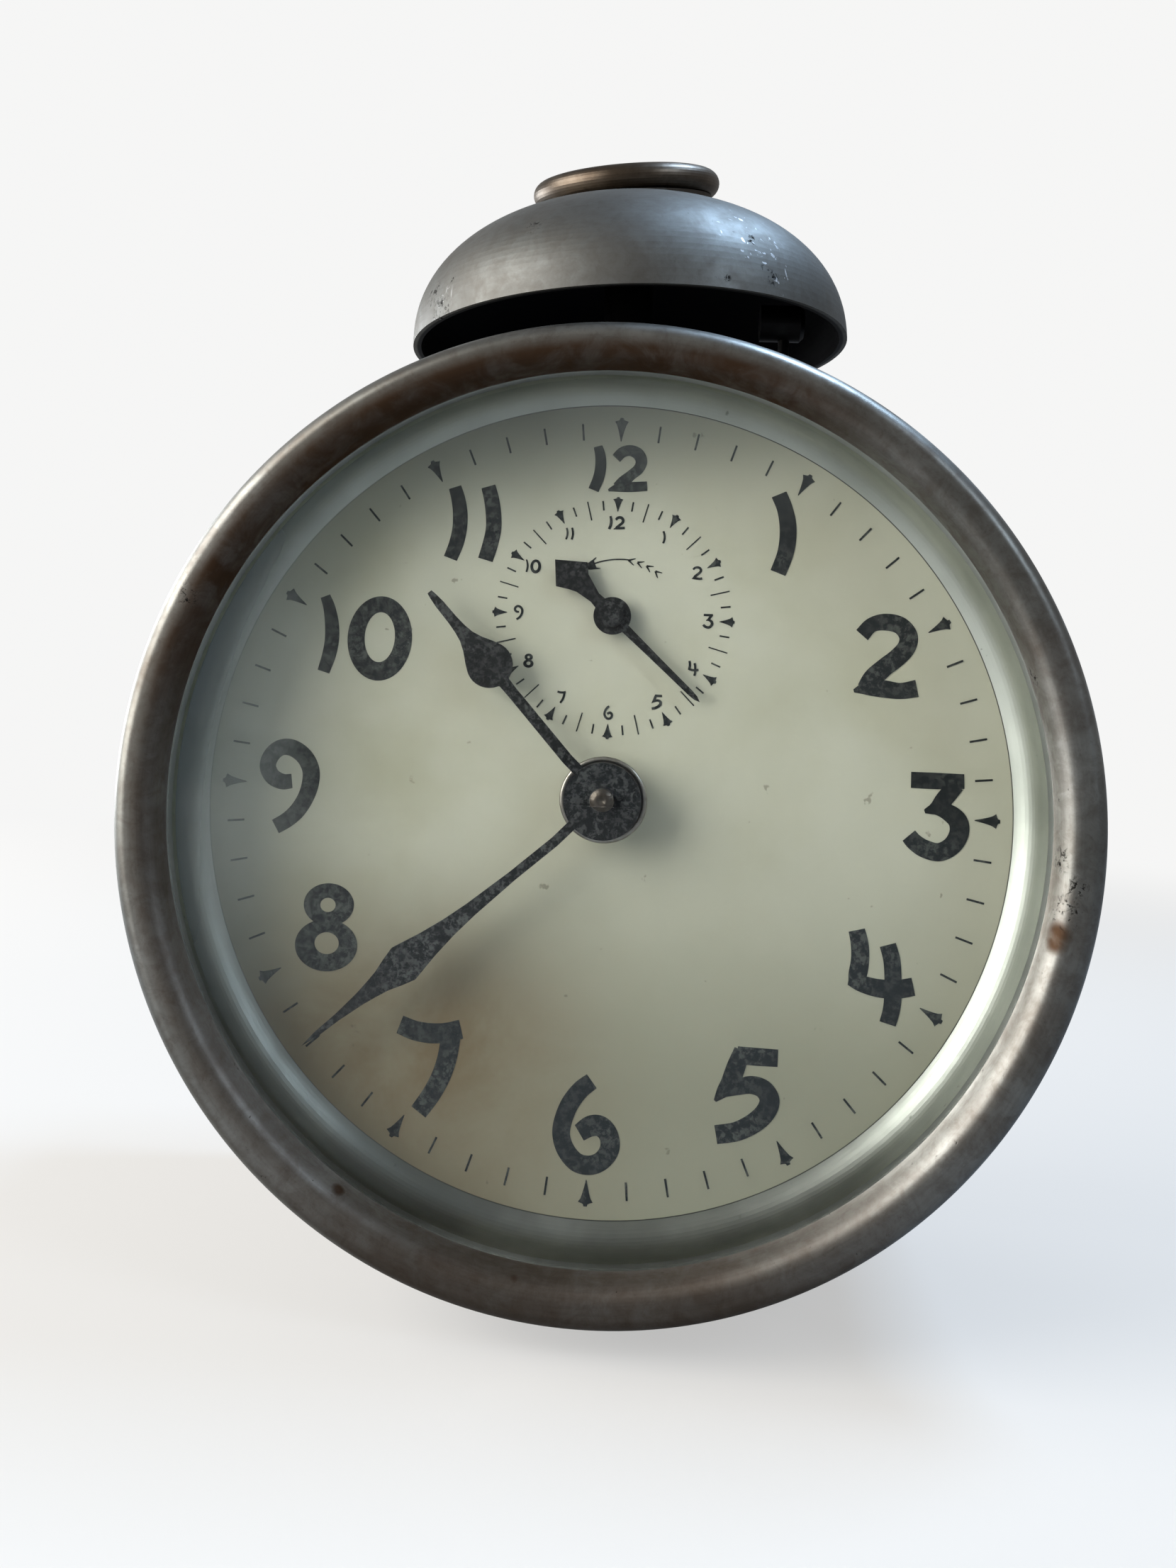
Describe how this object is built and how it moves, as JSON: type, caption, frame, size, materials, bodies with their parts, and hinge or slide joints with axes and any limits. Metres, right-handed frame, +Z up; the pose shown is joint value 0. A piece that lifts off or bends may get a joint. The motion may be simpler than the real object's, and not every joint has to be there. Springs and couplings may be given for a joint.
{
  "type": "wind-up alarm clock",
  "caption": "Round wind-up alarm clock with a rolled nickel rim, numbered dial, small alarm dial and a bell on top, with its geared going and ringing works, keys, knobs and hammer.",
  "frame": {"origin": "middle of the clock's outline on the surface that it stands on", "axes": "the dial faces -Y, +X is to the dial's right, and +Z is up"},
  "size_m": [0.114, 0.0712, 0.1504],
  "materials": {
    "nickel_case": "worn nickel plate on steel, dulled and pitted, brown tarnish on the rim's inner slope",
    "bell_nickel": "dull grey nickel plate with black pits",
    "cap_tarnished": "brown-black tarnish worn bright in places",
    "silvered_ring": "satin, silvered",
    "dial_paper": "cream paper face, stained, on a metal plate",
    "glass": "clear and hazy",
    "hands_black": "blued black, flaked",
    "steel": "oiled, greyed",
    "blued_steel": "spring temper, dark blue",
    "movement_brass": "dulled, brushed"
  },
  "bodies": {
    "case": {"case_drum": "nickel_case", "front_rim": "nickel_case", "glass": "glass", "sight_ring": "silvered_ring", "dial_plate": "dial_paper", "back_cover": "nickel_case", "back_screws": "steel", "foot_left": "nickel_case", "foot_right": "nickel_case", "foot_rear": "nickel_case", "foot_nuts": "steel", "bell_post": "steel", "bell": "bell_nickel", "bell_cap": "cap_tarnished", "bell_nut": "nickel_case", "front_plate": "movement_brass", "back_plate": "movement_brass", "pillars": "movement_brass", "pillar_nuts": "steel", "rear_posts": "movement_brass", "pivot_screws": "steel", "time_mainspring": "blued_steel", "alarm_mainspring": "blued_steel", "hairspring": "blued_steel", "hairspring_stud": "movement_brass", "release_spring": "movement_brass"},
    "minute_arbor": {"centre_arbor": "steel", "cannon_pinion": "steel", "friction_spring": "movement_brass", "minute_hand": "hands_black", "set_knob": "nickel_case"},
    "hour_work": {"hour_wheel": "movement_brass", "hand_collet": "nickel_case", "hour_hand": "hands_black"},
    "minute_wheel": {"minute_wheel": "movement_brass"},
    "alarm_wheel": {"alarm_wheel": "movement_brass"},
    "alarm_setting": {"alarm_arbor": "steel", "alarm_hand": "hands_black", "alarm_knob": "nickel_case"},
    "time_winding": {"time_winding_arbor": "steel", "time_ratchet": "steel", "time_key": "nickel_case"},
    "time_great_wheel": {"time_great_wheel": "movement_brass"},
    "time_click": {"time_click": "steel"},
    "centre_wheel": {"centre_wheel": "movement_brass"},
    "third_wheel": {"third_wheel": "movement_brass"},
    "fourth_wheel": {"fourth_wheel": "movement_brass"},
    "escape_wheel": {"escape_wheel": "movement_brass"},
    "pallet_lever": {"pallet_lever": "steel"},
    "balance": {"balance_wheel": "movement_brass"},
    "alarm_winding": {"alarm_winding_arbor": "steel", "alarm_ratchet": "steel", "alarm_key": "nickel_case"},
    "alarm_great_wheel": {"alarm_great_wheel": "movement_brass"},
    "alarm_click": {"alarm_click": "steel"},
    "alarm_escape_wheel": {"alarm_escape_wheel": "movement_brass"},
    "hammer": {"alarm_verge": "steel", "hammer": "steel"},
    "silence_lever": {"silence_lever": "steel"},
    "regulator": {"regulator": "steel"}
  },
  "joints": [
    {"name": "minute_turn", "type": "hinge", "parent": "case", "child": "minute_arbor", "pos_m": [0, -0.00255, 0.0603], "axis": [0, 1, 0], "continuous": true},
    {"name": "hour_turn", "type": "hinge", "parent": "case", "child": "hour_work", "pos_m": [0, -0.02155, 0.0603], "axis": [0, 1, 0], "continuous": true},
    {"name": "minute_wheel_turn", "type": "hinge", "parent": "case", "child": "minute_wheel", "pos_m": [-0.01316, -0.02055, 0.05551], "axis": [0, 1, 0], "continuous": true},
    {"name": "alarm_wheel_turn", "type": "hinge", "parent": "case", "child": "alarm_wheel", "pos_m": [0, -0.02155, 0.0827], "axis": [0, 1, 0], "continuous": true},
    {"name": "alarm_set", "type": "hinge", "parent": "case", "child": "alarm_setting", "pos_m": [0, -0.00255, 0.0827], "axis": [0, -1, 0], "continuous": true},
    {"name": "time_wind", "type": "hinge", "parent": "case", "child": "time_winding", "pos_m": [-0.01639, -0.00255, 0.04555], "axis": [0, 1, 0], "range_deg": [0, 1980]},
    {"name": "third_turn", "type": "hinge", "parent": "case", "child": "third_wheel", "pos_m": [-0.01559, -0.00255, 0.0693], "axis": [0, 1, 0], "continuous": true},
    {"name": "time_great_turn", "type": "hinge", "parent": "case", "child": "time_great_wheel", "pos_m": [-0.01639, -0.01455, 0.04555], "axis": [0, 1, 0], "continuous": true},
    {"name": "centre_turn", "type": "hinge", "parent": "case", "child": "centre_wheel", "pos_m": [0, -0.01055, 0.0603], "axis": [0, 1, 0], "continuous": true},
    {"name": "fourth_turn", "type": "hinge", "parent": "case", "child": "fourth_wheel", "pos_m": [-0.01293, -0.00255, 0.08437], "axis": [0, 1, 0], "continuous": true},
    {"name": "escape_turn", "type": "hinge", "parent": "case", "child": "escape_wheel", "pos_m": [-0.02548, -0.00255, 0.08547], "axis": [0, 1, 0], "continuous": true},
    {"name": "time_click_lift", "type": "hinge", "parent": "time_great_wheel", "child": "time_click", "pos_m": [-0.02523, -0.01335, 0.03671], "axis": [0, -1, 0], "range_deg": [0, 12]},
    {"name": "lever_rock", "type": "hinge", "parent": "case", "child": "pallet_lever", "pos_m": [-0.02895, -0.00255, 0.07803], "axis": [0, -1, 0], "range_deg": [-5, 5]},
    {"name": "balance_swing", "type": "hinge", "parent": "case", "child": "balance", "pos_m": [-0.03402, -0.00255, 0.06716], "axis": [0, -1, 0], "range_deg": [-135, 135]},
    {"name": "alarm_wind", "type": "hinge", "parent": "case", "child": "alarm_winding", "pos_m": [0.01639, -0.00255, 0.04555], "axis": [0, -1, 0], "range_deg": [0, 1440]},
    {"name": "alarm_great_turn", "type": "hinge", "parent": "case", "child": "alarm_great_wheel", "pos_m": [0.01639, 0.00785, 0.04555], "axis": [0, 1, 0], "continuous": true},
    {"name": "alarm_click_lift", "type": "hinge", "parent": "alarm_great_wheel", "child": "alarm_click", "pos_m": [0.02523, 0.00605, 0.03671], "axis": [0, 1, 0], "range_deg": [0, 12]},
    {"name": "alarm_escape_turn", "type": "hinge", "parent": "case", "child": "alarm_escape_wheel", "pos_m": [0.02309, -0.00255, 0.06396], "axis": [0, 1, 0], "continuous": true},
    {"name": "hammer_strike", "type": "hinge", "parent": "case", "child": "hammer", "pos_m": [0.022, -0.00255, 0.07642], "axis": [0, 1, 0], "range_deg": [-6, 4]},
    {"name": "silence_turn", "type": "hinge", "parent": "case", "child": "silence_lever", "pos_m": [0.0105, 0.01245, 0.0908], "axis": [0, -1, 0], "range_deg": [0, 20]},
    {"name": "regulator_turn", "type": "hinge", "parent": "case", "child": "regulator", "pos_m": [-0.03402, 0.01245, 0.06716], "axis": [0, -1, 0], "range_deg": [-20, 20]}
  ],
  "couplings": [
    {"joint": "hour_turn", "follows": "minute_turn", "ratio": 0.083333},
    {"joint": "minute_wheel_turn", "follows": "minute_turn", "ratio": -0.33333},
    {"joint": "alarm_wheel_turn", "follows": "minute_turn", "ratio": -0.083333},
    {"joint": "time_great_turn", "follows": "third_turn", "ratio": 0.020833},
    {"joint": "centre_turn", "follows": "third_turn", "ratio": -0.125},
    {"joint": "fourth_turn", "follows": "third_turn", "ratio": -7.5},
    {"joint": "escape_turn", "follows": "third_turn", "ratio": 60},
    {"joint": "alarm_escape_turn", "follows": "alarm_great_turn", "ratio": -6}
  ]
}
